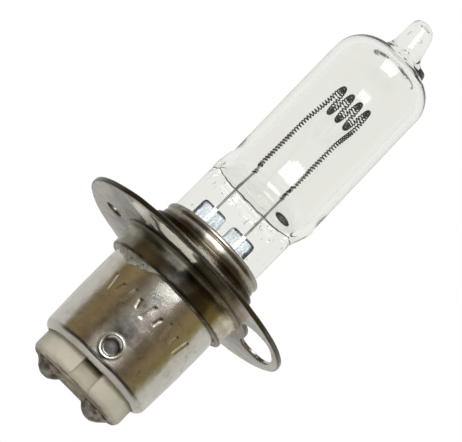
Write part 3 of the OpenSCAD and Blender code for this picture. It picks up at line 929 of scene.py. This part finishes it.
piece("flange_disc", flange_shape(), FLANGE_METAL, ["flange_plate"], turn=0,
      merge=2e-3)


def skirt_shape():
    inner_r = SKIRT_R - SKIRT_WALL
    profile = [(inner_r, SKIRT_END_Z + 0.1), (inner_r + 0.1, SKIRT_END_Z)]
    profile += arc((SKIRT_R - 0.2, SKIRT_END_Z + 0.2), 0.2, -90, 0, 8)
    flare = ((0, 0.55), (0.01, 1.1), (0.05, 1.75), (0.14, 2.35), (0.34, 2.8))
    profile += spline([(SKIRT_R + out, SKIRT_END_Z + up) for out, up in flare]
                      + [(SKIRT_R + 0.6, -FLANGE_T - 0.02), (SKIRT_R + 0.62, -FLANGE_T + 0.3)], 5)
    profile += [(inner_r, -FLANGE_T + 0.3), (inner_r, SKIRT_END_Z + 1)]
    return revolved(profile, 192, dented(0.045, 2.6, 31))


piece("skirt_band", skirt_shape(), SKIRT_METAL, ["skirt_ring"])


def seam_shape():
    """Solder drawn into the seam, running unevenly and heaviest at the front left."""
    gap_r = SKIRT_R - SKIRT_WALL
    profile = [(r, SKIRT_END_Z + up) for r, up in (
        (SHELL_R - 0.05, -0.35), (SHELL_R + 0.06, -0.3), (SHELL_R + 0.16, -0.18), (SHELL_R + 0.3, -0.06),
        (gap_r + 0.12, 0.02), (gap_r + 0.1, 0.8), (SHELL_R - 0.05, 0.8))]

    def flow(p):
        angle = degrees(atan2(p.y, p.x)) % 360
        below = max(SKIRT_END_Z + 0.05 - p.z, 0) / 0.4
        heavy = hump(angle, 222, 38)
        flat = (p.x, p.y, 0)
        run = 4.2 * heavy * (0.75 + 0.4 * rough(flat, 2.2, 42)) + 0.2 * rough(flat, 1.5, 41) - 0.85
        moved = pushed(p, 0.05 * below * heavy + 0.012 * rough(p, 0.8, 43))
        return moved - Vector((0, 0, 0.42 * below * max(run, -1)))

    return revolved(profile, 240, flow)


piece("seam_of_solder", seam_shape(), SEAM_SOLDER, ["solder_fillet"])


def shell_shape():
    """Drawn shell with its crimped end, a dimple front and back and the row of stamped strokes."""
    outer = [(SHELL_R, z) for z in levels(SHELL_TAPER_Z, SHELL_TAPER_Z + 4, 0.11)]
    outer += [(SHELL_R, z) for z in levels(SHELL_TAPER_Z + 4, SHELL_TOP_Z, 0.4)[1:]]
    crimp_z = SHELL_END_Z + CRIMP_R
    end = [(LIP_R, SHELL_END_Z + 0.16), (LIP_R + 0.08, SHELL_END_Z + 0.02)]
    end += arc((SHELL_END_R - CRIMP_R, crimp_z), CRIMP_R, -78, 0, 10)
    taper = [(mix(SHELL_END_R, SHELL_R, (z - crimp_z) / (SHELL_TAPER_Z - crimp_z)), z)
             for z in levels(crimp_z, SHELL_TAPER_Z, 0.13)[1:-1]]
    inside = [(SHELL_R - SHELL_WALL, SHELL_TOP_Z), (SHELL_R - SHELL_WALL, SHELL_TAPER_Z)]
    inside += [(SHELL_END_R - SHELL_WALL - 0.6, z) for z in (-12, -14)]
    inside += [(SHELL_END_R - CRIMP_R + 0.2, SHELL_END_Z + SHELL_WALL + 0.1),
               (LIP_R, SHELL_END_Z + SHELL_WALL)]
    return revolved(end + taper + outer + inside, 480, stamped_shell)


def stamped_shell(p):
    """Dents, the two dimples and the strokes, pushed into the shell's outside."""
    radius = hypot(p.x, p.y)
    if radius < LIP_R + 0.3 or radius < SHELL_END_R - 0.35 and p.z > SHELL_END_Z + CRIMP_R:
        return p
    push = 0.022 * rough(p, 2.8, 51) + 0.006 * rough(p, 0.9, 52)
    push -= 0.1 * ease((p.z - SHELL_TOP_Z + 5.2) / 4)
    front_x = p.x if p.y < 0 else -p.x
    if SHELL_END_Z + 0.8 < p.z < SHELL_TAPER_Z + 1:
        away = hypot(front_x + DIMPLE_LEFT, p.z - DIMPLE_Z)
        push -= DIMPLE_DEPTH * ease((DIMPLE_R + 0.02 - away) / 0.2) + 0.14 * hump(away, 0, 3.4)
        push += 0.05 * hump(away, DIMPLE_R + 0.14, 0.3) + 0.02 * max(0, 1 - away / 0.6)
    if p.y < 0 and abs(p.z - MARK_Z) < 1.3:
        angle = atan2(p.x, -p.y)
        index = round(angle / MARK_STEP)
        if abs(index) <= MARKS_A_SIDE:
            lean = 0.22 * (p.z - MARK_Z) * (1 if (index + 1) % 3 else -1)
            side = abs((angle - index * MARK_STEP) * SHELL_R - lean)
            reach = (0.5 if index % 2 else 0.95) - abs(p.z - MARK_Z)
            push -= MARK_CUT * ease(min(MARK_HALF_W - side, reach) / 0.3 + 0.6)
    return pushed(p, push)


piece("shell_drawn", shell_shape(), SHELL_METAL, ["base_shell"], sharp=60)


# ---- ceramic and contacts

def plug_outline(inset):
    """Outline of the ceramic with its key groove front and back, corners softened."""
    radius, half = PLUG_R - inset, KEY_HALF_W + inset
    shore, floor = sqrt(radius ** 2 - half ** 2), PLUG_R - KEY_CUT - inset * 0.6
    reach = 90 - degrees(asin(half / radius))
    side = [Vector(p) for p in arc((0, 0), radius, -reach, reach, 90)[:-1]]
    corners = [Vector(p) for p in ((half, shore), (half, floor), (-half, floor), (-half, shore))]
    for a, b, steps in zip(corners, corners[1:], (5, 14, 5)):
        side += [a.lerp(b, i / steps) for i in range(steps)]
    outline = side + [-p for p in side]
    for _ in range(2):
        count = len(outline)
        outline = [outline[i - 1] * 0.25 + outline[i] * 0.5 + outline[(i + 1) % count] * 0.25
                   for i in range(count)]
    return outline


def plug_shape():
    side_z = PLUG_END_Z + PLUG_EDGE_R
    edge = arc((PLUG_EDGE_R, side_z), PLUG_EDGE_R, 270, 180)[:-1]
    side = [(0, z) for z in levels(side_z, PLUG_TOP_Z, 0.25)]
    rings = [raised(plug_outline(inset), z) for inset, z in edge + side]
    bottom, top = ([raised([p * u for p in ring], z) for u in (0.9, 0.7, 0.45, 0.2)]
                   for ring, z in ((rings[0], PLUG_END_Z), (rings[-1], PLUG_TOP_Z)))
    rings = [turn_ring(0, PLUG_END_Z, 1), *bottom[::-1], *rings, *top, turn_ring(0, PLUG_TOP_Z, 1)]

    def wear_and_highlight(p):
        moved = p + Vector((0, 0, 0.03 * rough(p, 1.6, 61)))
        chip = max(rough(p, 1.1, 62, 3) - 0.35, 0) * hump(p.z, PLUG_END_Z + 0.3, 0.8)
        return pushed(moved, 0.03 * rough(p, 1.8, 63) - 0.5 * chip) if p.xy.length > 1 else moved

    return skin([[wear_and_highlight(p) for p in ring] for ring in rings])


piece("ceramic_plug", plug_shape(), CERAMIC, ["insulator"])


def mound_shape(node, seed):
    """A hand-soldered contact: a lopsided bell with a rough skin."""
    low, high = span(node)
    foot = PLUG_END_Z
    height = foot - low.z
    centre = Matrix.Rotation(-BASE_TURN, 3, "Z") @ ((low + high) / 2)
    centre.z = 0
    radius = (high.x - low.x) / 2
    bell = ((0, 1), (0.3, 0.99), (0.6, 0.94), (0.9, 0.83), (1.2, 0.68), (1.5, 0.47), (1.8, 0.27),
            (2.05, 0.11), (radius + 0.12, 0))  # radius, and part of the height below the foot
    profile = spline([(r, foot - height * part) for r, part in bell], 5)
    profile += [(radius * 0.97, foot + 0.12), (0, foot + 0.12)]

    def lumpy(p):
        down = (foot - p.z) / height
        if p.z > foot:
            return p + centre
        swell = 1 + 0.05 * rough(p, 1.3, seed) * ease(down * 3) + 0.025 * rough(p, 0.4, seed + 1)
        lift = 0.1 * height * min(rough(p, 1.1, seed + 2), 0) * down
        return Vector((p.x * swell, p.y * swell, p.z - lift)) + centre

    rings = [turn_ring(r, z, 72) for r, z in profile]
    return skin([[lumpy(p) for p in ring] for ring in rings])


for side_name, side in SIDES.items():
    contact = f"solder_contact_{side_name}"
    piece(f"contact_mound_{side_name}", mound_shape(contact, 70 + 5 * side), CONTACT_SOLDER, [contact])


# ---- CAD nodes that stay

kept = {"base_cement": CEMENT}
for node_name, material in (("lead_wire", LEAD_METAL), ("foil", FOIL_METAL), ("outer_lead", LEAD_METAL),
                            ("lead_sleeve", SLEEVING), ("contact_eyelet", BRASS)):
    kept.update({f"{node_name}_{side_name}": material for side_name in SIDES})
for node_name, material in kept.items():
    mesh = frame["nodes"][node_name].data
    mesh.materials.clear()
    mesh.materials.append(material)


# ---- camera

CAMERA_DISTANCE = 250.0  # from the lamp axis
CAMERA_Z = -43.0  # the lamp is seen a little from below
AIM_Z = 7.9
AIM_RIGHT = -0.69  # the lamp axis lies right of the picture's middle
VIEW_TURN = radians(10)
ROLL = radians(45)  # the lamp points to the picture's upper right corner
LENS = 173.3

towards_camera = Vector((sin(VIEW_TURN), -cos(VIEW_TURN), 0))
view_right = Vector((cos(VIEW_TURN), sin(VIEW_TURN), 0))

place = towards_camera * CAMERA_DISTANCE + view_right * AIM_RIGHT + Vector((0, 0, CAMERA_Z))
back = (place - view_right * AIM_RIGHT - Vector((0, 0, AIM_Z))).normalized()
up = back.cross(view_right).normalized()
image_up = up * cos(ROLL) - view_right * sin(ROLL)
image_right = view_right * cos(ROLL) + up * sin(ROLL)
data = bpy.data.cameras.new("camera")
data.lens = LENS
data.clip_start, data.clip_end = 0.01, 10
camera = new_object("camera", data)
camera.matrix_world = Matrix.Translation(place * MM) @ Matrix(
    (image_right, image_up, back)).transposed().to_4x4()
bpy.context.scene.camera = camera


# ---- floor, lights and studio

FLOOR_HALF_W, FLOOR_Z = 1500.0, -110.0
AIM_LIGHT_Z = 12.0
STRIP_DISTANCE = 600.0
STRIP_TURN = 6.0  # degrees from one strip of the window to the next
WINDOW_SPANS = ((15.8, 13.0), (16.5, 13.2), (17.2, 13.4), (17.5, 13.7), (17.9, 14.1), (18.3, 14.6),
                (18.6, 15))  # heights on the glass between which each strip shows, from the left


def add_floor():
    mesh = bpy.data.meshes.new("floor")
    mesh.from_pydata([Vector((x * FLOOR_HALF_W, y * FLOOR_HALF_W, FLOOR_Z)) * MM
                      for x, y in ((-1, -1), (1, -1), (1, 1), (-1, 1))], [], [(0, 1, 2, 3)])
    material, shader, place = blank("pale_floor")
    wire(shader, {"Base Color": ramp(noise_of(place, 0.02), (0.3, 0.84), (0.7, 0.87)), "Roughness": 0.8})
    mesh.materials.append(material)
    floor = new_object("floor", mesh)
    floor.visible_glossy = floor.visible_transmission = False


add_floor()


def add_light(name, turn, rise, distance, width, height, strength, colour=(1, 1, 1)):
    """A soft box at an angle round from the camera and above the horizon, aimed at the lamp.
    Its strength is its brightness as seen, whatever its size."""
    a, e = radians(turn), radians(rise)
    out = (towards_camera * cos(a) + view_right * sin(a)) * cos(e)
    out.z = sin(e)
    data = bpy.data.lights.new(name, "AREA")
    data.shape = "RECTANGLE"
    data.size, data.size_y = width * MM, height * MM
    data.energy = strength * pi * data.size * data.size_y
    data.color = colour
    lamp = new_object(name, data)
    lamp.rotation_mode = "QUATERNION"
    lamp.location = (Vector((0, 0, AIM_LIGHT_Z)) + out * distance) * MM
    lamp.rotation_quaternion = out.to_track_quat("Z", "Y")
    return lamp


def add_strip(name, top_z, end_z, turn):
    """A strip light that the front of the glass mirrors between two heights."""
    middle = (top_z + end_z) / 2
    slope = (middle - CAMERA_Z) / CAMERA_DISTANCE
    rise = atan2(middle + STRIP_DISTANCE * slope - AIM_LIGHT_Z, STRIP_DISTANCE)
    height = (top_z - end_z) * (1 + STRIP_DISTANCE / CAMERA_DISTANCE)
    width = 2 * STRIP_DISTANCE * tan(radians(STRIP_TURN / 2 + 0.1))
    add_light(name, turn, degrees(rise), STRIP_DISTANCE / cos(rise), width, height, 8)


add_light("overhead_box", -3, 40, 600, 330, 420, 5.0, (1, 0.99, 0.97))
top_box = add_light("top_soft_box", 150, 65, 700, 420, 320, 1.5)
top_box.visible_glossy = top_box.visible_transmission = False
for index, (top_z, end_z) in enumerate(WINDOW_SPANS):
    add_strip(f"window_low_{index + 1}", top_z, end_z, STRIP_TURN * index - 16)

# A white studio behind the lamp, and a darker room in front that only reflections see.
scene = bpy.context.scene
scene.view_settings.view_transform = "Standard"
scene.world = bpy.data.worlds.new("studio")
scene.world.use_nodes = True
tree = scene.world.node_tree
way = add(tree, "TexCoord", {}, "Generated")
wobble = (add(tree, "TexNoise", {"Vector": way, "Scale": 3, "Detail": 4}, "Fac") - 0.5) * 0.05
ahead, across = (add(tree, "VectorMath", {0: way, 1: axis}, "Value", operation="DOT_PRODUCT")
                 for axis in (towards_camera, view_right))
turn = across.math("ARCTAN2", ahead) / (2 * pi) + 0.5 + wobble
rise = xyz(way)[2] * 0.5 + 0.5
white, pale = (0.7, 0.69, 0.66), (0.62, 0.61, 0.58)
room = ramp(turn, (0, white), (0.215, white), (0.24, (0.24, 0.19, 0.1)), (0.31, (0.3, 0.22, 0.11)),
            (0.38, (0.16, 0.12, 0.07)), (0.43, (0.3, 0.27, 0.22)), (0.46, (0.22, 0.22, 0.21)),
            (0.5, (0.27, 0.27, 0.26)), (0.545, (0.34, 0.3, 0.25)), (0.58, (0.2, 0.165, 0.11)),
            (0.62, (0.18, 0.13, 0.075)), (0.68, (0.28, 0.21, 0.11)), (0.735, (0.25, 0.2, 0.07)),
            (0.752, (0.38, 0.34, 0.16)), (0.772, white), (1, white))
under = ramp(turn, (0.17, pale), (0.25, (0.05, 0.045, 0.04)), (0.5, (0.02, 0.018, 0.015)),
             (0.74, (0.06, 0.05, 0.035)), (0.83, pale))
seen = blend(ramp(rise, (0.475, 0), (0.53, 1)), under, room)
seen = blend(ramp(rise, (0.66, 0), (0.85, 1)), seen, 0.5)
seen = blend(ramp(rise, (0.17, 1), (0.32, 0)), seen, (0.55, 0.54, 0.52))
behind = ramp(turn, (0.2, 0), (0.3, 1), (0.7, 1), (0.8, 0))
for rays, light in (("Is Diffuse Ray", blend(rise, 0.42, 0.62)),
                    ("Is Transmission Ray", blend(behind, (0.97, 0.97, 0.96), (0.78, 0.78, 0.76))),
                    ("Is Camera Ray", 1)):
    seen = blend(add(tree, "LightPath", {}, rays), seen, light)
wire(tree.nodes["Background"], {"Color": seen})
